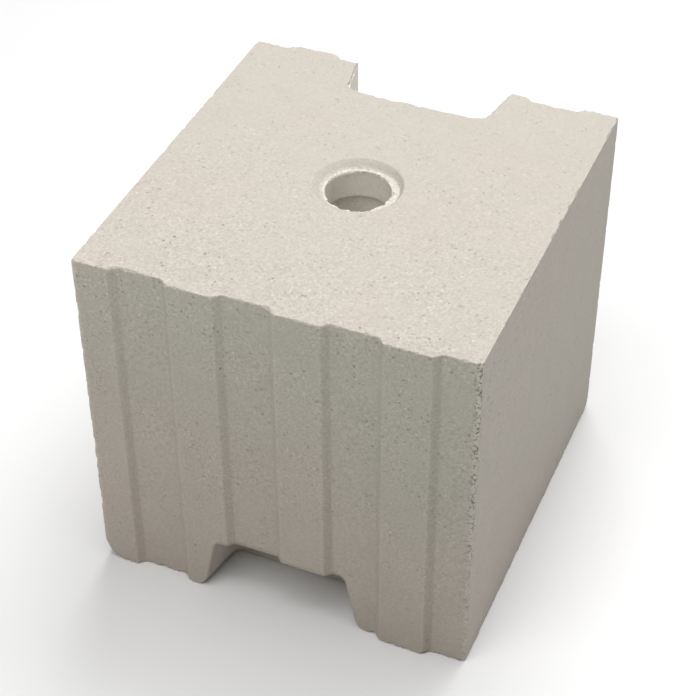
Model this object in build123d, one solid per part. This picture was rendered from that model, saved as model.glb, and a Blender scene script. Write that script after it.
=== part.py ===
"""Calcium silicate wall block with ribbed ends, a grip hole and two grip pockets.

One pressed and steam hardened piece. X runs across the wall, Y along the wall
from one ribbed end to the other, Z is up, and the origin is the middle of the
underside. All sizes are in millimetres.
"""
import os
from math import radians, tan

from build123d import *

# Body of the block
WALL_WIDTH = 240.0          # across the wall, from one plain side to the other
LAYING_LENGTH = 248.0       # along the wall, from a crest to the groove opposite
BLOCK_HEIGHT = 238.0

# Ribs of the two ends, which lock into the ribs of the next block
RIB_WIDTH = 32.0            # one crest or one groove, measured at half its depth
RIB_DEPTH = 4.0
RIB_FLANK_ANGLE = 45.0      # of a flank to the end face
RIB_EDGE_RADIUS = 1.0

# Grip hole through the middle, with a dished rim in the top and a wider core hole below
GRIP_HOLE_RADIUS = 19.5
GRIP_HOLE_DEPTH = 18.5      # from the ledge of the dish down to the core hole
CORE_HOLE_STEP = 2.5        # how much wider the core hole is on each side
LEDGE_WIDTH = 1.5
DISH_DEPTH = 4.0
DISH_WALL_ANGLE = 34.0      # of the dish wall to the top

# Grip pockets, one low in the front end and one high in the back end
POCKET_MOUTH = 102.0        # width at the crests of the ribs
POCKET_HEIGHT = 43.0
POCKET_DEPTH = 35.0         # from the crests of the ribs
POCKET_TAPER_ANGLE = 10.9   # of each side wall in plan
FRONT_DRAFT_ANGLE = 11.3    # of each side wall of the front pocket, going up
BACK_DRAFT_ANGLE = 0.0      # of each side wall of the back pocket, going down
POCKET_CORNER_RADIUS = 9.0  # where a side wall meets the rear wall
POCKET_ROOF_RADIUS = 4.0    # where the walls meet the roof or the floor
POCKET_FOOT_RADIUS = 10.0   # lower edge of each side wall of the front pocket

OVERCUT = 10.0              # how far a cutting shape runs past the face it cuts

crest_y = (LAYING_LENGTH + RIB_DEPTH) / 2
groove_y = crest_y - RIB_DEPTH
rear_wall_y = -crest_y + POCKET_DEPTH
past_ribs_y = -groove_y + RIB_EDGE_RADIUS


def end_points():
    """Corners of the back end from the +X side to the -X side.

    A flank stands on the middle line and at every rib width from it. The strip
    on the +X side of the middle line is a groove, and crests and grooves take
    turns from there. The last strip beside a plain side takes what is left,
    from half a rib width to one and a half.
    """
    half_run = RIB_DEPTH / tan(radians(RIB_FLANK_ANGLE)) / 2
    flanks_each_side = round(WALL_WIDTH / 2 / RIB_WIDTH) - 1

    def level(strip):
        return groove_y if strip % 2 == 0 else crest_y

    points = [(WALL_WIDTH / 2, level(flanks_each_side))]
    for flank in range(flanks_each_side, -flanks_each_side - 1, -1):
        middle = flank * RIB_WIDTH
        points.append((middle + half_run, level(flank)))
        points.append((middle - half_run, level(flank - 1)))
    points.append((-WALL_WIDTH / 2, level(-flanks_each_side - 1)))
    return points


def body():
    """Block with both ribbed ends: the front end is the back end turned half round."""
    back = end_points()
    front = [(-x, -y) for x, y in back]
    outline = Polygon(*back, *front, align=None)
    outline = fillet(outline.vertices(), RIB_EDGE_RADIUS)
    return extrude(outline, BLOCK_HEIGHT)


def grip_hole():
    """Round former of the grip hole: the dish, its ledge, the hole, and the core hole below it."""
    ledge_radius = GRIP_HOLE_RADIUS + LEDGE_WIDTH
    core_radius = GRIP_HOLE_RADIUS + CORE_HOLE_STEP
    wall_slope = tan(radians(DISH_WALL_ANGLE))
    ledge_z = BLOCK_HEIGHT - DISH_DEPTH
    core_z = ledge_z - GRIP_HOLE_DEPTH
    over_z = BLOCK_HEIGHT + OVERCUT
    over_radius = ledge_radius + (DISH_DEPTH + OVERCUT) / wall_slope
    half_section = make_face(
        Polyline(
            (0, 0, -OVERCUT),
            (core_radius, 0, -OVERCUT),
            (core_radius, 0, core_z),
            (GRIP_HOLE_RADIUS, 0, core_z),
            (GRIP_HOLE_RADIUS, 0, ledge_z),
            (ledge_radius, 0, ledge_z),
            (over_radius, 0, over_z),
            (0, 0, over_z),
            close=True,
        )
    )
    return revolve(half_section, Axis.Z)


def pocket_plan(z, half_mouth):
    """Plan of a pocket in the front end at a height, with sharp corners."""
    taper = tan(radians(POCKET_TAPER_ANGLE))
    half_outer = half_mouth + OVERCUT * taper
    half_rear = half_mouth - POCKET_DEPTH * taper
    outer_y = -crest_y - OVERCUT
    plan = Polygon(
        (-half_outer, outer_y),
        (half_outer, outer_y),
        (half_rear, rear_wall_y),
        (-half_rear, rear_wall_y),
        align=None,
    )
    return Pos(0, 0, z) * plan


def cut_pocket(solid, draft_angle):
    """Cut a pocket low into the front end, with side walls that lean in going up."""
    draft = tan(radians(draft_angle))
    half_mouth = POCKET_MOUTH / 2
    low = pocket_plan(-OVERCUT, half_mouth + OVERCUT * draft)
    high = pocket_plan(POCKET_HEIGHT, half_mouth - POCKET_HEIGHT * draft)
    return solid - loft([low, high], ruled=True)


def round_feet(solid):
    """Round the lower edges of the pocket's two side walls into the underside."""
    underside = solid.edges().filter_by_position(Axis.Z, 0, 0)
    feet = underside.filter_by_position(Axis.Y, past_ribs_y, rear_wall_y, inclusive=(True, False))
    return fillet(feet, POCKET_FOOT_RADIUS)


def round_inside(solid):
    """Round the pocket's upright inner corners, then the edge of its roof."""
    rear = solid.edges().filter_by_position(Axis.Y, rear_wall_y, rear_wall_y)
    upright = rear.filter_by_position(Axis.Z, POCKET_FOOT_RADIUS, POCKET_HEIGHT, inclusive=(False, False))
    solid = fillet(upright, POCKET_CORNER_RADIUS)
    roof = solid.edges().filter_by_position(Axis.Z, POCKET_HEIGHT, POCKET_HEIGHT)
    roof_edge = roof.filter_by_position(Axis.Y, past_ribs_y, rear_wall_y)
    return fillet(roof_edge, POCKET_ROOF_RADIUS)


def turn_over(solid):
    """The block upside down, with its back end in front."""
    return Pos(0, 0, BLOCK_HEIGHT) * Rot(180, 0, 0) * solid


def block():
    """Block with the grip hole, the low front pocket and the high back pocket."""
    solid = body() - grip_hole()
    solid = round_inside(round_feet(cut_pocket(solid, FRONT_DRAFT_ANGLE)))
    solid = round_inside(cut_pocket(turn_over(solid), BACK_DRAFT_ANGLE))
    return turn_over(solid)


os.makedirs("parts", exist_ok=True)
export_step(block(), "parts/block.step")
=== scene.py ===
import bmesh
import bpy
import numpy as np
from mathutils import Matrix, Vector


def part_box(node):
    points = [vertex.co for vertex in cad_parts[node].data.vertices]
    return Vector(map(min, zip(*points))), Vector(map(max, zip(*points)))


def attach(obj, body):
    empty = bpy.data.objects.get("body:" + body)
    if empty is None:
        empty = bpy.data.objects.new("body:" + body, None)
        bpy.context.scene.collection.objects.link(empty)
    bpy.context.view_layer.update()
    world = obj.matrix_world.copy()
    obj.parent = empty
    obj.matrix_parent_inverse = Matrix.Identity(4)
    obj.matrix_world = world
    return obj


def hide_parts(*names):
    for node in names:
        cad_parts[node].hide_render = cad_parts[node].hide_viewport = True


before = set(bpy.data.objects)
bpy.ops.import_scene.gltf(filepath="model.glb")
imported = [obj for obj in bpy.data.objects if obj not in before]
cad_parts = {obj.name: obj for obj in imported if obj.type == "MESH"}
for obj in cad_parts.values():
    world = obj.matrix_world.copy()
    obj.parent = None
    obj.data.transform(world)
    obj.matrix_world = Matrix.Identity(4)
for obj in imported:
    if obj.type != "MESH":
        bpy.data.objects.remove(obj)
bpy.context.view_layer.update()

# The block
# Sand and lime, pressed in a steel mould and hardened in steam, so the whole block is one piece. Its ribbed
# ends lock into the next blocks, each end has a finger pocket, low in front and high at the back, and a grip
# hole with a dished rim runs through the middle, wider below.

low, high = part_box("block")
half_width, crest, height = high

rib_width = 0.032
rib_depth = 0.004
rib_edge = 0.001
trough = crest - rib_depth

corner_radius = 0.001
corner_reach = 0.003
arris = 0.0005
arris_rows = 4

hole_radius = 0.0195
core_radius = 0.022
ledge_radius = 0.021
dish_depth = 0.004
dish_wall_angle = np.radians(34)
dish_radius = ledge_radius + dish_depth / np.tan(dish_wall_angle)
ledge = height - dish_depth
grip_depth = 0.0185
core_top = ledge - grip_depth
spall_width = 0.0032
spall_turn = np.radians(12)
spall_power = 1.5

half_mouth = 0.051
pocket_height = 0.043
pocket_depth = 0.035
taper_angle = np.radians(10.9)
front_draft = np.tan(np.radians(11.3))
back_draft = 0.0
inner_corner = 0.009
roof_radius = 0.004
foot_radius = 0.010
foot_rows = 8
roof_half_mouth = half_mouth - front_draft * pocket_height - roof_radius
cheek_end = 2 * rib_width - rib_depth / 2 - rib_edge


def groove(x):
    """Share of the rib depth across the front end: 0 on a crest and 1 in a groove, with a straight ramp for
    the flank between them. The ramp is averaged over a short run, which eases both of its edges."""
    from_crest = np.abs((x + rib_width / 2) % (2 * rib_width) - rib_width)
    ramp = (from_crest - rib_width / 2) / rib_depth + 0.5
    ease = 0.4 * rib_edge / rib_depth

    def area(t):
        """Area under the ramp as far as t: half a square while it rises, then a straight line."""
        return np.where(t < 1, np.clip(t, 0, 1) ** 2 / 2, t - 0.5)

    return (area(ramp + ease) - area(ramp - ease)) / (2 * ease)


def columns_across():
    """Places across an end where the columns of the mesh stand: even steps, and closer ones at the edges of
    the flanks and at the pocket's corners."""
    even_columns = 171
    flanks_each_side = 3
    clearance = 0.8 * rib_edge
    flanks = rib_width * np.arange(-flanks_each_side, flanks_each_side + 1)
    edges = np.add.outer(flanks, [-rib_depth / 2, rib_depth / 2]).ravel()
    about_edge = rib_edge * np.array([-0.5, 0.0, 0.5])
    close = np.add.outer(edges, about_edge).ravel()
    close = np.concatenate([close, [-roof_half_mouth, roof_half_mouth]])
    even = np.linspace(corner_reach - half_width, half_width - corner_reach, even_columns)
    clear = np.abs(np.subtract.outer(even, close)).min(axis=1) > clearance
    return np.sort(np.concatenate([even[clear], close]))


def pocket_walls(across, mouth, depth, radius):
    """Plan of a pocket as a walk along its walls, with across from -1 at the left mouth corner to 1 at the
    right one. Each half is the straight rear wall, the arc of the inner corner, and the side wall, which
    leans in by the taper and ends on the crest at the left and in the groove at the right. Gives the place
    across and the depth."""
    rear_end, side_start = 0.44, 0.62
    walk = np.abs(across)
    turn = np.interp(walk, [rear_end, side_start], [np.pi / 2, taper_angle])
    arc_x = mouth - (depth - radius) * np.tan(taper_angle) - radius / np.cos(taper_angle)
    x = (arc_x + radius * np.cos(turn)) * np.minimum(walk / rear_end, 1)
    y = depth - radius + radius * np.sin(turn)
    mouth_y = np.where(across > 0, rib_depth, 0)
    mouth_x = mouth - mouth_y * np.tan(taper_angle)
    along_side = np.clip((walk - side_start) / (1 - side_start), 0, 1)
    x = x + (mouth_x - x) * along_side
    y = y + (mouth_y - y) * along_side
    return np.sign(across) * x, y


def ribbed_end(rise, openness, draft, foot):
    """Front end as rows of columns. Rise is each row's distance from the pocket's open side. Openness is 1
    where the row follows the pocket's walls, 0 where it follows the ribs, and between them on the pocket's
    roof. The columns beside the pocket close up as its mouth widens. Gives x, y and each column's share of
    the pocket."""
    x = columns_across()[None, :]
    rise, openness = rise[:, None], openness[:, None]
    rib_y = rib_depth * groove(x) - crest

    foot_end = foot * (1 - np.sin(np.arctan(draft)))
    foot_middle = half_mouth - draft * foot + foot * np.hypot(1, draft)
    foot_x = foot_middle - np.sqrt(foot ** 2 - np.clip(foot - rise, 0, None) ** 2)
    mouth = np.where(rise < foot_end, foot_x, half_mouth - draft * np.minimum(rise, pocket_height))
    over = np.clip(rise - pocket_height + roof_radius, 0, roof_radius)
    inset = roof_radius - np.sqrt(roof_radius ** 2 - over ** 2)
    across = np.clip(x / roof_half_mouth, -1, 1)
    wall_x, wall_y = pocket_walls(across, mouth - inset, pocket_depth - inset, inner_corner - inset)
    pocket_x = x + (wall_x - x) * openness
    pocket_y = rib_y + (wall_y - crest - rib_y) * openness

    mouth_corner = mouth - inset - np.where(x > 0, rib_depth * np.tan(taper_angle), 0)
    mouth_corner = roof_half_mouth + (mouth_corner - roof_half_mouth) * openness
    share = np.clip((cheek_end - np.abs(x)) / (cheek_end - roof_half_mouth), 0, 1)
    cheek_x = np.sign(x) * (cheek_end - share * (cheek_end - mouth_corner))

    in_pocket = np.abs(x) <= roof_half_mouth
    end_x = np.where(in_pocket, pocket_x, np.where(share > 0, cheek_x, x))
    end_y = np.where(in_pocket, pocket_y, rib_y)
    return end_x, end_y, share


def rows_up():
    """Heights of the rows of the sides, from the underside to the top: for columns clear of the pockets, and
    each pocket's rise and openness. All of them crowd near the top and the underside."""
    crowd = 0.001 * np.array([0.0, 0.6, 1.3, 2.2, 3.4, 5.0])
    side_rows, wall_rows, round_rows, roof_rows = 92, 11, 5, 8

    inner = side_rows - 2 * len(crowd)
    plain = np.concatenate([
        crowd,
        np.linspace(crowd[-1], height - crowd[-1], inner + 2)[1:-1],
        height - crowd[::-1],
    ])

    def pocket(first):
        """Rise and openness of a pocket: first rows, walls, rounding, roof, then the ribs past it."""
        round_start = pocket_height - roof_radius
        wall = np.linspace(first[-1], round_start, wall_rows + 1)[1:]
        rounded = round_start + roof_radius * np.sin(np.linspace(0, np.pi / 2, round_rows + 1)[1:])
        roof = np.full(roof_rows, pocket_height)
        above = side_rows - len(first) - wall_rows - round_rows - roof_rows - len(crowd)
        rest = np.linspace(pocket_height, height - crowd[-1], above + 2)[1:-1]
        rise = np.concatenate([first, wall, rounded, roof, rest, height - crowd[::-1]])
        openness = np.zeros(side_rows)
        walls = len(first) + wall_rows + round_rows
        openness[:walls] = 1
        openness[walls:walls + roof_rows] = np.linspace(1, 0, roof_rows + 1)[1:]
        return rise, openness

    foot_turn = np.linspace(np.pi / 2, np.arctan(front_draft), foot_rows)
    front = pocket(foot_radius * (1 - np.sin(foot_turn)))
    back = pocket(crowd)
    return plain, front, back


def outline_rows():
    """Rows of the block's whole outline, anticlockwise from the front left corner: front end, right side,
    back end, left side, with an arc at each corner. The back end is the front end turned half round, with
    its pocket upside down. Gives x, y and z, each as rows by columns."""
    corner_columns, side_columns = 6, 89
    plain, (front_rise, front_open), (back_rise, back_open) = rows_up()
    plain = plain[:, None]

    front_x, front_y, front_share = ribbed_end(front_rise, front_open, front_draft, foot_radius)
    front_z = plain + front_share * (front_rise[:, None] - plain)
    back_x, back_y, back_share = ribbed_end(back_rise[::-1], back_open[::-1], back_draft, 0.0)
    back_z = plain + back_share * (height - back_rise[::-1, None] - plain)

    def corner(x_side, y, start):
        """Quarter circle that rounds an upright corner of the block, from a start angle in degrees."""
        turn = np.radians(start + np.linspace(0, 90, corner_columns))
        x_middle = x_side * (half_width - corner_radius)
        y_middle = y - np.sign(y) * corner_radius
        return x_middle + corner_radius * np.cos(turn), y_middle + corner_radius * np.sin(turn)

    def plain_side(x_side, start, end):
        """Even steps along a plain side, clear of its two corners."""
        reach = np.sign(end - start) * corner_reach
        y = np.linspace(start + reach, end - reach, side_columns)
        return np.full(y.shape, x_side * half_width), y

    right = [corner(1, -trough, -90), plain_side(1, -trough, crest), corner(1, crest, 0)]
    left = [corner(-1, trough, 90), plain_side(-1, trough, -crest), corner(-1, -crest, 180)]
    right_x, right_y = np.concatenate(right, axis=1)
    left_x, left_y = np.concatenate(left, axis=1)

    def rows(values):
        """The values repeated for every row."""
        return np.broadcast_to(values, (len(plain), values.shape[-1]))

    x = np.concatenate([front_x, rows(right_x), -back_x, rows(left_x)], axis=1)
    y = np.concatenate([front_y, rows(right_y), -back_y, rows(left_y)], axis=1)
    z = np.concatenate([front_z, rows(plain + 0 * right_x), back_z, rows(plain + 0 * left_x)], axis=1)
    return x, y, z


def inward(x, y):
    """Inset of a closed outline by one unit: the mean of the two edges' normals at each point, stretched so
    that both edges move by the same amount, then evened out between neighbours three times."""
    edge = np.stack([np.roll(x, -1) - x, np.roll(y, -1) - y])
    normal = np.stack([-edge[1], edge[0]]) / np.hypot(*edge)
    before = np.roll(normal, 1, axis=1)
    step = (before + normal) / (1 + np.maximum((before * normal).sum(axis=0), 0))
    for _ in range(3):
        step = (np.roll(step, 1, axis=1) + 2 * step + np.roll(step, -1, axis=1)) / 4
    return step


def rounded_profile(corners, radius, spacing):
    """Half section of the grip hole: straight runs between the corners, cut up evenly, and at each corner a
    short curve that starts and ends a radius away from it. Gives the distance from the axis and the
    height."""
    curve_points, most_steps = 4, 12
    corners = np.array(corners)
    back = corners[:-2] - corners[1:-1]
    on = corners[2:] - corners[1:-1]
    enter = corners[1:-1] + radius * back / np.linalg.norm(back, axis=1, keepdims=True)
    leave = corners[1:-1] + radius * on / np.linalg.norm(on, axis=1, keepdims=True)
    t = np.linspace(0, 1, curve_points)[:, None]
    runs_from = np.concatenate([corners[:1], leave])
    runs_to = np.concatenate([enter, corners[-1:]])
    pieces = []
    for place, (start, end) in enumerate(zip(runs_from, runs_to)):
        steps = int(np.clip(np.linalg.norm(end - start) / spacing, 1, most_steps))
        pieces.append(start + (end - start) * np.linspace(0, 1, steps + 1)[1:-1, None])
        if place < len(enter):
            corner = corners[place + 1]
            pieces.append((1 - t) ** 2 * enter[place] + 2 * t * (1 - t) * corner + t ** 2 * leave[place])
    return np.concatenate(pieces)


def flat_face(x, y, face_z, up, rounding, end_y, mixes):
    """Arris of the top or the underside, with its rounding for each column, then the flat part as far as a
    rectangle inside the outline. The ends go to its near and far sides, and the plain sides spread along the
    other two."""
    drawn_in = 0.95
    side_zone = 2.5 * arris
    quarter = np.radians(np.linspace(0, 90, arris_rows + 1)[1:])[:, None]
    step_x, step_y = inward(x, y)
    round_x = x + step_x * rounding * (1 - np.cos(quarter))
    round_y = y + step_y * rounding * (1 - np.cos(quarter))
    round_z = face_z - up * rounding * (1 - np.sin(quarter)) + 0 * round_x
    edge_x, edge_y = round_x[-1], round_y[-1]

    front_y, back_y = end_y
    on_side = np.clip((np.abs(edge_x) - half_width + side_zone) / arris, 0, 1)
    along = np.interp(edge_y, [-crest, crest], [front_y, back_y])
    nearest = np.where(edge_y < 0, front_y, back_y)
    inner = np.stack([drawn_in * edge_x, nearest + (along - nearest) * on_side])
    flat_x = edge_x + (inner[0] - edge_x) * mixes
    flat_y = edge_y + (inner[1] - edge_y) * mixes
    rounded = np.stack([round_x, round_y, round_z], axis=-1)
    flat = np.stack([flat_x, flat_y, face_z + 0 * flat_x], axis=-1)
    return np.concatenate([rounded, flat]), inner


def block_surface():
    """Whole surface of the block as one grid that closes both ways. Columns run round the outline. Rows run
    out over the underside, up the sides, in over the top, down through the hole and out under the block
    again. Gives the grid, each column's share of the lower arris, which is none on the feet of the pocket,
    and the rows of the lower and the upper edge."""
    eased_height = 0.005
    foot_overhang = 0.003
    pocket_end, plain_end = 0.065, 0.095
    lip = 0.002
    hole_spacing = 0.0018
    top_rows, under_rows, crowding = 10, 6, 1.7
    ring_rows, under_ring_rows = 7, 4

    x, y, z = outline_rows()
    step_x, step_y = inward(x[0], y[0])
    overhang = (x[0] - x[foot_rows - 1]) * step_x + (y[0] - y[foot_rows - 1]) * step_y
    upright = np.clip(1 - overhang / foot_overhang, 0, 1)
    near_floor = np.clip(1 - z / eased_height, 0, 1)
    near_top = np.clip(1 - (height - z) / eased_height, 0, 1)
    z = z + arris * (upright * near_floor - near_top)
    sides = np.stack([x, y, z], axis=-1)

    def mixes(count):
        """Shares of the way in over a flat face, crowded toward its edge."""
        return np.linspace(0, 1, count + 1)[1:, None] ** crowding

    top_ends, under_ends = (-plain_end, pocket_end), (-pocket_end, plain_end)
    top, top_inner = flat_face(x[-1], y[-1], height, 1, arris, top_ends, mixes(top_rows))
    under, under_inner = flat_face(x[0], y[0], 0.0, -1, arris * upright, under_ends, mixes(under_rows))

    top_turn = np.arctan2(top_inner[1], top_inner[0])
    under_turn = np.arctan2(under_inner[1], under_inner[0])
    top_ring = (dish_radius + lip) * np.stack([np.cos(top_turn), np.sin(top_turn)])
    under_ring = (core_radius + lip) * np.stack([np.cos(under_turn), np.sin(under_turn)])

    def between(first, last, face_z, count):
        """Rows on straight lines from a first outline to a last one, without these two."""
        mix = np.linspace(0, 1, count + 1)[1:-1, None, None]
        flat = np.moveaxis(first + (last - first) * mix, 1, -1)
        return np.concatenate([flat, np.full(flat.shape[:2] + (1,), face_z)], axis=-1)

    profile = rounded_profile([
        (dish_radius + lip, height), (dish_radius, height), (ledge_radius, ledge), (hole_radius, ledge),
        (hole_radius, core_top), (core_radius, core_top), (core_radius, 0.0), (core_radius + lip, 0.0),
    ], arris, hole_spacing)
    radius, depth = profile[:, :1], profile[:, 1:]
    twist = np.clip(1 - depth / core_top, 0, 1)
    turn = top_turn + twist * ((under_turn - top_turn + np.pi) % (2 * np.pi) - np.pi)
    on_ledge = np.clip((radius - hole_radius) / (ledge_radius - hole_radius), 0, 1)
    on_dish = np.where(depth > core_top, on_ledge * np.clip((height - depth) / dish_depth, 0, 1), 0)
    radius = radius + on_dish * spall_width * np.clip(np.cos(turn - spall_turn), 0, 1) ** spall_power
    hole = np.stack([radius * np.cos(turn), radius * np.sin(turn), depth + 0 * turn], axis=-1)
    surface = np.concatenate([
        under[::-1], sides, top,
        between(top_inner, top_ring, height, ring_rows), hole,
        between(under_ring, under_inner, 0.0, under_ring_rows),
    ])
    under_edge = len(under)
    return surface, upright, under_edge, under_edge + len(sides) - 1


sharp, upright, under_edge, top_edge = block_surface()
rows, columns = sharp.shape[:2]

# Wear of the block
# Sand and lime crumble where they are knocked: the edges have lost small chips, the lower ones the most, the
# grip hole's rim is ragged, with a wider ledge at the right, and the lower left corner in front is rubbed
# round.

rng = np.random.default_rng(17)


def rubbed_corner(points, corner, radius, reach):
    """A rounded box whose radius is largest at the corner and fades out at the reach. The box is drawn in by
    that radius, and each point past it moves to the ball of the radius round the nearest point of the
    drawn-in box."""
    least_length = 1e-9
    outward = np.sign(corner - np.array([0, 0, height / 2]))
    near = np.clip(1 - np.linalg.norm(points - corner, axis=-1, keepdims=True) / reach, 0, 1)
    ball = radius * near ** 2 * (3 - 2 * near)
    outside = np.maximum((points - corner) * outward + ball, 0)
    length = np.linalg.norm(outside, axis=-1, keepdims=True)
    kept = np.minimum(ball / np.maximum(length, least_length), 1)
    return points - outward * outside * np.where(near > 0, 1 - kept, 0)


def chipped(points, places, outward, radius, bite):
    """Chips knocked out at the places. Each is a ball that reaches in from outside by a share of its radius,
    its bite, and the points inside it move straight away from its middle to its surface. Radius and bite are
    drawn between two limits, and small bites are the most common."""
    small_bites = 1.5
    count = len(places)
    outward = outward / np.linalg.norm(outward, axis=-1, keepdims=True)
    radii = rng.uniform(*radius, count)
    bites = bite[0] * (bite[1] / bite[0]) ** rng.random(count) ** small_bites
    middles = places + outward * (radii * (1 - bites))[:, None]
    for middle, ball in zip(middles, radii):
        away = points - middle
        distance = np.linalg.norm(away, axis=-1, keepdims=True)
        points = np.where(distance < ball, middle + away * ball / distance, points)
    return points


def outline_chips(points, row, up, share, count, radius, bite):
    """Chips spread over the length of the top or the lower outline by each column's share, knocked in at a
    slant."""
    x, y, z = sharp[row].T
    length = np.hypot(np.roll(x, -1) - x, np.roll(y, -1) - y) * share
    column = rng.choice(columns, count, p=length / length.sum())
    slant = np.stack([*-inward(x, y), up + 0 * z], axis=-1)
    return chipped(points, sharp[row][column], slant[column], radius, bite)


def rim_chips(points, turn, radius, bite):
    """Chips at the given turns round the mouth of the grip hole."""
    to_axis = np.stack([-np.cos(turn), -np.sin(turn), 0 * turn], axis=-1)
    places = -hole_radius * to_axis + [0, 0, ledge]
    return chipped(points, places, to_axis + [0, 0, 1], radius, bite)


arrises = [(-half_width, -crest), (half_width, -trough), (half_width, crest), (-half_width, trough)]
arris_chips = 70
worn = rubbed_corner(sharp, np.array([-half_width, -crest, 0]), radius=0.008, reach=0.018)
for arris_x, arris_y in arrises:
    worn = rubbed_corner(worn, np.array([arris_x, arris_y, 0]), radius=0.003, reach=0.012)
    worn = rubbed_corner(worn, np.array([arris_x, arris_y, height]), radius=0.0015, reach=0.006)
    chip_z = rng.uniform(0, height, arris_chips)
    places = np.stack([arris_x + 0 * chip_z, arris_y + 0 * chip_z, chip_z], axis=-1)
    outward = np.tile([np.sign(arris_x), np.sign(arris_y), 0], (arris_chips, 1))
    worn = chipped(worn, places, outward, radius=(0.002, 0.005), bite=(0.15, 0.35))

plain_side_share = 0.15
plain_side = np.abs(sharp[top_edge, :, 0]) > half_width - 0.2 * arris
ends = np.where(plain_side, plain_side_share, 1)
back = np.where(sharp[top_edge, :, 1] > 0, ends, 0)
worn = outline_chips(worn, top_edge, 1, ends, count=220, radius=(0.0008, 0.0022), bite=(0.2, 0.5))
worn = outline_chips(worn, top_edge, 1, back, count=110, radius=(0.0012, 0.0030), bite=(0.25, 0.6))
worn = outline_chips(worn, under_edge, -1, upright, count=300, radius=(0.0010, 0.0022), bite=(0.4, 0.8))
worn = outline_chips(worn, under_edge, -1, upright, count=260, radius=(0.0015, 0.0034), bite=(0.25, 0.75))
worn = outline_chips(worn, under_edge, -1, upright, count=45, radius=(0.003, 0.006), bite=(0.15, 0.35))

all_round, near_side = (0, 2 * np.pi), (-2.4, 0.1)
worn = rim_chips(worn, rng.uniform(*all_round, size=45), radius=(0.0008, 0.0016), bite=(0.3, 0.7))
worn = rim_chips(worn, rng.uniform(*near_side, size=9), radius=(0.0016, 0.0026), bite=(0.5, 0.8))
worn = rim_chips(worn, rng.uniform(*all_round, size=6), radius=(0.004, 0.007), bite=(0.1, 0.2))
worn = np.clip(worn, low, high)

# Marks on the block's surface: wear, painted highlights, painted light and painted shade
# Broken stone is paler, and the same mark paints highlights on the top and lower arrises, the grip hole's
# rim and the rib crests' edges. The walls of the hole and of the back pocket get painted light, the right
# front arris is pitted with painted shade in its pits, and painted shade lies low on the rib flanks that
# face right.
# Each mark is a share for every point.


def close_to(distance, reach, fade):
    """Share that is 1 near a place and falls in a straight line, over the length of the fade, to 0 at the
    reach."""
    return np.clip((reach - distance) / fade, 0, 1)


x, y, z = np.moveaxis(worn, -1, 0)
from_axis = np.hypot(x, y)
from_rim = np.hypot(from_axis - hole_radius, z - ledge)
from_front_arris = np.hypot(x - half_width, y + trough)
on_end = np.abs(y) > trough - rib_edge
from_flank = np.where(y < 0, x, -x) % (2 * rib_width) - rib_width

# The wear mark holds real wear where chips and rubbing took stone away, and painted highlights on the top
# and lower arris rows, the grip hole's rim and the rib crests' edges.
full_loss, ledge_skin = 0.0004, 0.001
edge_wear_and_highlight, rim_wear_and_highlight, crest_wear_and_highlight = 0.8, 1.9, 0.4
lost = np.linalg.norm(worn - sharp, axis=-1)
wear_and_highlight = np.clip(lost / full_loss, 0, 1)
above_ledge = close_to(ledge - z, reach=0.00128, fade=0.0008)
wear_and_highlight = np.maximum(wear_and_highlight, rim_wear_and_highlight * close_to(from_rim, reach=0.00338, fade=0.00247) * above_ledge)
on_ledge = (np.abs(z - ledge) < ledge_skin) & (from_axis < dish_radius)
wear_and_highlight = np.maximum(wear_and_highlight, on_ledge * np.clip(np.cos(np.arctan2(y, x) - spall_turn), 0, 1))
for arris_x, arris_y in arrises:
    from_arris = np.hypot(x - arris_x, y - arris_y)
    wear_and_highlight = np.maximum(wear_and_highlight, close_to(from_arris, reach=0.00286, fade=0.0022))
top_arris = slice(top_edge, top_edge + arris_rows + 1)
lower_arris = slice(under_edge - arris_rows, under_edge + 1)
wear_and_highlight[top_arris] = np.maximum(wear_and_highlight[top_arris], edge_wear_and_highlight)
wear_and_highlight[lower_arris] = np.maximum(wear_and_highlight[lower_arris], edge_wear_and_highlight * upright)
for crest_edge in (-rib_depth / 2, rib_depth / 2 - rib_width):
    from_edge = np.abs(from_flank - crest_edge)
    wear_and_highlight = np.maximum(wear_and_highlight, crest_wear_and_highlight * close_to(from_edge, reach=0.0009, fade=0.0009) * on_end)

# Painted light: the walls of the grip hole below the ledge and the walls of the back pocket, its left wall
# the most, are painted paler and less warm.
slack, below_edge, left_wall = 0.0005, 0.0015, 0.012
left_wall_light, pocket_wall_light, under_fade = 1.0, 0.2, 0.004
painted_light = close_to(from_axis, reach=core_radius + 0.0012, fade=0.001) * close_to(z, reach=ledge, fade=0.003)
painted_light = painted_light * np.clip(z / under_fade, 0, 1)
in_pocket = (y > crest - pocket_depth - slack) & (np.abs(x) < half_mouth + slack)
in_pocket &= (z > height - pocket_height - slack) & (z < height - below_edge)
painted_light = np.maximum(painted_light, in_pocket * np.where(x < left_wall - half_mouth, left_wall_light, pocket_wall_light))

# Painted shade of pits on the right front arris: a share for dark spots that have no relief, fewer low down.
pits_start, pits_rise, fewest_pits = 0.06, 0.05, 0.2
arris_pit_shade = close_to(from_front_arris, reach=0.00352, fade=0.0022)
arris_pit_shade = arris_pit_shade * np.clip((z - pits_start) / pits_rise, fewest_pits, 1)

# Painted shade on the rib flanks that face right, strongest low down and toward the right.
flank_shade_top, flank_shade_fade, flank_shade_across = 0.88 * height, 0.8 * height, 4
flank_shade = close_to(np.abs(from_flank), reach=0.0026, fade=0.0008) * on_end
flank_shade = flank_shade * close_to(z, flank_shade_top, flank_shade_fade) * (1 + flank_shade_across * x)

index = np.arange(rows * columns).reshape(rows, columns)
beside = np.roll(index, -1, axis=1)
quads = np.stack([index, beside, np.roll(beside, -1, axis=0), np.roll(index, -1, axis=0)], axis=-1)

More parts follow.
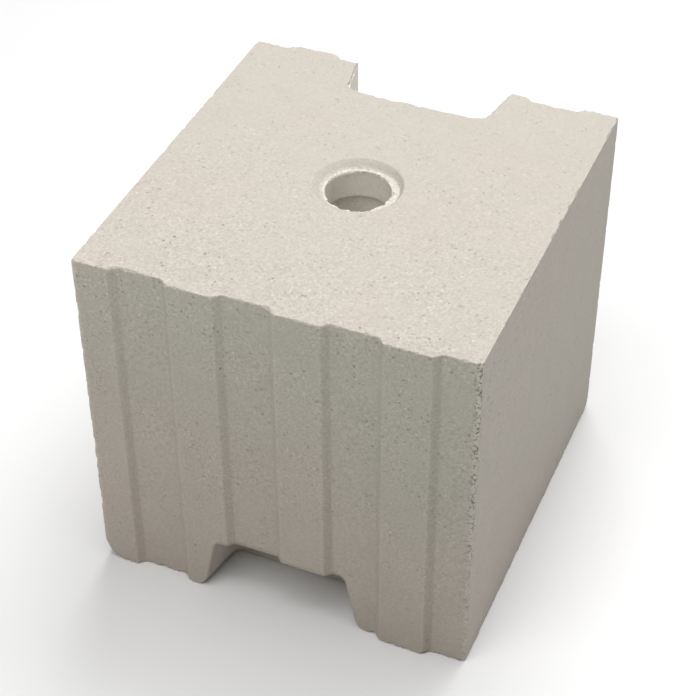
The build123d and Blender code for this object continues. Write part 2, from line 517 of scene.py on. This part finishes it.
block_mesh = bpy.data.meshes.new("block")
block_mesh.from_pydata(worn.reshape(-1, 3).tolist(), [], quads.reshape(-1, 4).tolist())
for name, mark in (("wear_and_highlight", wear_and_highlight), ("painted_light", painted_light), ("arris_pit_shade", arris_pit_shade), ("flank_shade", flank_shade)):
    block_mesh.attributes.new(name, "FLOAT", "POINT").data.foreach_set("value", mark.ravel())

same_place = 1e-7
shell = bmesh.new()
shell.from_mesh(block_mesh)
bmesh.ops.remove_doubles(shell, verts=shell.verts, dist=same_place)
bmesh.ops.recalc_face_normals(shell, faces=shell.faces)
shell.to_mesh(block_mesh)
shell.free()
block_mesh.shade_smooth()
block = bpy.data.objects.new("calcium_silicate_block", block_mesh)
bpy.context.collection.objects.link(block)

# Stone of the block
# Quartz sand bound with lime: pale grey and a little warm, with sand grains, light and dark specks, and pits
# with painted shade. It is darker toward the floor and paler where it is broken, with painted highlights on
# the edges and the grip hole's rim, painted light on the plain sides and on the walls of the hole and the
# back pocket, and painted shade on the front toward the right and on the rib flanks that face right.

stone = bpy.data.materials.new("calcium_silicate")
stone.use_nodes = True
nodes, links = stone.node_tree.nodes, stone.node_tree.links
shader = nodes["Principled BSDF"]
place = nodes.new("ShaderNodeTexCoord").outputs["Object"]


def feed(socket, source):
    """Set a socket to a number, or link it to another node's output."""
    if isinstance(source, (int, float)):
        socket.default_value = source
    else:
        links.new(source, socket)


def math(operation, *sources, clamp=False):
    """Result of a Math node."""
    made = nodes.new("ShaderNodeMath")
    made.operation = operation
    made.use_clamp = clamp
    for socket, source in zip(made.inputs, sources):
        feed(socket, source)
    return made.outputs["Value"]


def noise(scale, detail):
    """Cloudy noise from -0.5 to 0.5, with the scale in cells a metre."""
    made = nodes.new("ShaderNodeTexNoise")
    links.new(place, made.inputs["Vector"])
    made.inputs["Scale"].default_value = scale
    made.inputs["Detail"].default_value = detail
    return math("SUBTRACT", made.outputs["Fac"], 0.5)


def specks(scale, share, size):
    """Round grains: one ball in a share of the cells, with a radius drawn for each cell, up to the size in
    cells. Gives 1 inside the balls, and a number from -1 to 1 that is drawn for each cell."""
    edge_sharpness = 9
    cells = nodes.new("ShaderNodeTexVoronoi")
    links.new(place, cells.inputs["Vector"])
    cells.inputs["Scale"].default_value = scale
    draw = nodes.new("ShaderNodeSeparateColor")
    links.new(cells.outputs["Color"], draw.inputs["Color"])
    ball = math("MULTIPLY", math("SUBTRACT", draw.outputs["Red"], 1 - share), size / share)
    depth = math("SUBTRACT", ball, cells.outputs["Distance"])
    inside = math("MULTIPLY", depth, edge_sharpness, clamp=True)
    return inside, math("MULTIPLY_ADD", draw.outputs["Green"], 2.0, -1.0)


def attribute(name):
    """Value of one of the mesh's own point attributes."""
    made = nodes.new("ShaderNodeAttribute")
    made.attribute_name = name
    return made.outputs["Fac"]


def past(distance, start, gain):
    """Share that grows by the gain for each metre past the start, held between 0 and 1."""
    return math("MULTIPLY_ADD", distance, gain, -gain * start, clamp=True)


def plus(total, source, amount):
    """A total with the amount times the source added to it."""
    return math("MULTIPLY_ADD", source, amount, total)


def times(first, second):
    """Product of two values."""
    return math("MULTIPLY", first, second)


def blended(blend, share, first, second):
    """Colour of a Mix node: a share of the second colour blended into the first one."""
    made = nodes.new("ShaderNodeMix")
    made.data_type = "RGBA"
    made.blend_type = blend
    links.new(share, made.inputs["Factor"])
    links.new(first, made.inputs["A"])
    made.inputs["B"].default_value = second
    return made.outputs["Result"]


separate = nodes.new("ShaderNodeSeparateXYZ")
links.new(place, separate.inputs["Vector"])
across, along, above = separate.outputs
edge_band, top_skin = 0.003, 0.0005
up_share = math("DIVIDE", above, height, clamp=True)
low_share = math("SUBTRACT", 1.0, up_share)
on_front = past(along, edge_band - trough, gain=-400)
on_side = past(math("ABSOLUTE", across), half_width - edge_band, gain=400)
below_top = past(above, height - top_skin, gain=-600)
front_face = times(on_front, below_top)
side_face = times(on_side, below_top)
middle_near, near_rise = 0.45, -0.85 / crest
near = math("MAXIMUM", plus(middle_near, along, near_rise), 0.0)

cool_stone, warm_stone = (0.480, 0.468, 0.412, 1), (0.524, 0.462, 0.410, 1)
painted_light_stone, olive_cast = (0.486, 0.464, 0.424, 1), (1.0, 1.0, 0.967, 1)
mean_warmth, warmth_swing, side_swing, warmth_across = 0.55, 1.0, -0.4, -1.0
front_low_warmth, front_rise = 0.35, -0.84
swing = plus(warmth_swing, below_top, side_swing)
warm = plus(mean_warmth, noise(scale=12, detail=2), swing)
warm = plus(warm, times(front_face, across), warmth_across)
warm = math("ADD", warm, times(front_face, plus(front_low_warmth, up_share, front_rise)), clamp=True)
hue = nodes.new("ShaderNodeValToRGB")
hue.color_ramp.elements[0].color = cool_stone
hue.color_ramp.elements[1].color = warm_stone
links.new(warm, hue.inputs["Fac"])

grain = noise(scale=620, detail=2)
cloud = noise(scale=60, detail=3)
# Paler tone along the wear mark: broken stone, and painted highlights on the edges and the rim.
crumble_and_highlight_mean, crumble_and_highlight_swing = 0.75, 2.4
crumble_and_highlight = times(attribute("wear_and_highlight"), plus(crumble_and_highlight_mean, noise(scale=450, detail=2), crumble_and_highlight_swing))
patch_mean, patch_swing, low_patches, patches_rise = 0.75, 2.0, 0.2, 0.8
patchy = math("MULTIPLY_ADD", noise(scale=34, detail=1), patch_swing, patch_mean, clamp=True)
patchy = times(patchy, plus(low_patches, up_share, patches_rise))
grains, shade = specks(scale=540, share=0.9, size=0.65)
# Painted shade of small pits: dark specks with no relief.
shaded_pit_specks = specks(scale=250, share=0.10, size=0.30)[0]
far_grains, near_grains = 0.55, 0.35
strewn = math("MAXIMUM", times(patchy, plus(far_grains, near, near_grains)), attribute("wear_and_highlight"))
# Painted shade: tiny dark spots for the pits of the right front arris.
pit_spot_sharpness, pit_spot_start = -20.0, -0.5
pit_shade_spots = math("MULTIPLY_ADD", grain, pit_spot_sharpness, pit_spot_start, clamp=True)

mean_tone, side_painted_light = 1.02, 0.105
low_tone, front_low_tone, side_low_tone = -0.03, -0.07, -0.16
front_top_tone, front_top_power, front_shade_across = 0.06, 4.0, -0.3
grain_tone, near_grain_tone, side_grain_tone = 0.22, 0.42, -0.14
cloud_tone, crumble_and_highlight_tone, painted_light_tone = 0.08, 0.24, 0.62
speck_tone, mean_speck_tone, most_speck_tone, speck_power = 0.42, -0.02, 0.2, 3.0
pit_speck_shade_tone, pit_spot_shade_tone, flank_shade_tone = -0.2, -0.6, -0.06
darkening = plus(plus(low_tone, on_front, front_low_tone), side_face, side_low_tone)
# The plain sides get painted light: their whole tone is raised.
tone = plus(plus(mean_tone, side_face, side_painted_light), low_share, darkening)
tone = plus(tone, times(front_face, math("POWER", up_share, front_top_power)), front_top_tone)
# Painted shade on the front end: darker toward the right, paler toward the left.
tone = plus(tone, times(on_front, across), front_shade_across)
strength = plus(grain_tone, times(patchy, near), near_grain_tone)
tone = plus(tone, grain, plus(strength, on_side, side_grain_tone))
tone = plus(tone, cloud, cloud_tone)
tone = plus(tone, crumble_and_highlight, crumble_and_highlight_tone)
tone = plus(tone, attribute("painted_light"), painted_light_tone)
speck = plus(mean_speck_tone, math("POWER", shade, speck_power), speck_tone)
tone = plus(tone, times(grains, strewn), math("MINIMUM", speck, most_speck_tone))
tone = plus(tone, shaded_pit_specks, pit_speck_shade_tone)
tone = plus(tone, times(pit_shade_spots, attribute("arris_pit_shade")), pit_spot_shade_tone)
# Painted shade on the rib flanks that face right.
tone = plus(tone, attribute("flank_shade"), flank_shade_tone)

colour = nodes.new("ShaderNodeVectorMath")
colour.operation = "SCALE"
# Painted light on the walls of the hole and the back pocket: their colour turns to a paler, less warm stone.
painted_light_hue = blended("MIX", attribute("painted_light"), hue.outputs["Color"], painted_light_stone)
links.new(blended("MULTIPLY", front_face, painted_light_hue, olive_cast), colour.inputs["Vector"])
links.new(tone, colour.inputs["Scale"])
links.new(colour.outputs["Vector"], shader.inputs["Base Color"])

worn_relief, side_relief = 2.0, -0.4
relief = plus(grain, attribute("wear_and_highlight"), times(grain, worn_relief))
relief = times(relief, plus(1.0, on_side, side_relief))
bump = nodes.new("ShaderNodeBump")
bump.inputs["Strength"].default_value = 0.5
bump.inputs["Distance"].default_value = 0.0004
links.new(relief, bump.inputs["Height"])
links.new(bump.outputs["Normal"], shader.inputs["Normal"])
mean_roughness, grain_roughness = 0.92, 0.12
links.new(plus(mean_roughness, grain, grain_roughness), shader.inputs["Roughness"])
shader.inputs["Specular IOR Level"].default_value = 0.3
block_mesh.materials.append(stone)

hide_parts("block")
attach(block, "root")

# Floor, light and camera
# A plain white floor under four soft round lamps, above, behind, in front and at the right, in a dim white
# room. The camera stands where the photo was taken.

floor_half = 4.0
floor_corners = [(floor_half * x, floor_half * y, 0) for x, y in ((-1, -1), (1, -1), (1, 1), (-1, 1))]
floor_mesh = bpy.data.meshes.new("floor")
floor_mesh.from_pydata(floor_corners, [], [(0, 1, 2, 3)])
floor = bpy.data.objects.new("floor", floor_mesh)
bpy.context.collection.objects.link(floor)
floor_paint = bpy.data.materials.new("floor_paint")
floor_paint.use_nodes = True
floor_shader = floor_paint.node_tree.nodes["Principled BSDF"]
floor_shader.inputs["Base Color"].default_value = (0.85, 0.85, 0.85, 1)
floor_shader.inputs["Roughness"].default_value = 0.9
floor_mesh.materials.append(floor_paint)


def soft_lamp(name, place, size, power):
    """Round area lamp at a place, turned to the middle of the block."""
    light = bpy.data.lights.new(name, "AREA")
    light.shape = "DISK"
    light.size = size
    light.energy = power
    lamp = bpy.data.objects.new(name, light)
    lamp.location = place
    to_block = Vector((0, 0, height / 2)) - lamp.location
    lamp.rotation_euler = to_block.to_track_quat("-Z", "Y").to_euler()
    bpy.context.collection.objects.link(lamp)


soft_lamp("top_lamp", (0.25, 0.0, 2.4), size=2.0, power=30)
soft_lamp("back_lamp", (0.0, 1.2, 2.0), size=1.6, power=29)
soft_lamp("front_lamp", (-0.3, -1.2, 2.0), size=1.6, power=18)
soft_lamp("side_lamp", (1.5, 1.5, 0.9), size=1.2, power=5)

world = bpy.data.worlds.new("room")
world.use_nodes = True
room_light = world.node_tree.nodes["Background"]
room_light.inputs["Color"].default_value = (1, 1, 1, 1)
room_light.inputs["Strength"].default_value = 0.1
bpy.context.scene.world = world
bpy.context.scene.view_settings.view_transform = "Standard"

camera_data = bpy.data.cameras.new("camera")
camera_data.lens = 96.08
camera_data.sensor_width = 36.0
camera = bpy.data.objects.new("camera", camera_data)
lean, roll, turn = np.radians([49.14937, 0.13639, 22.67778])
camera.rotation_euler = (lean, roll, turn)
camera.location = (0.334496, -0.811757, 0.871854)
bpy.context.collection.objects.link(camera)
bpy.context.scene.camera = camera
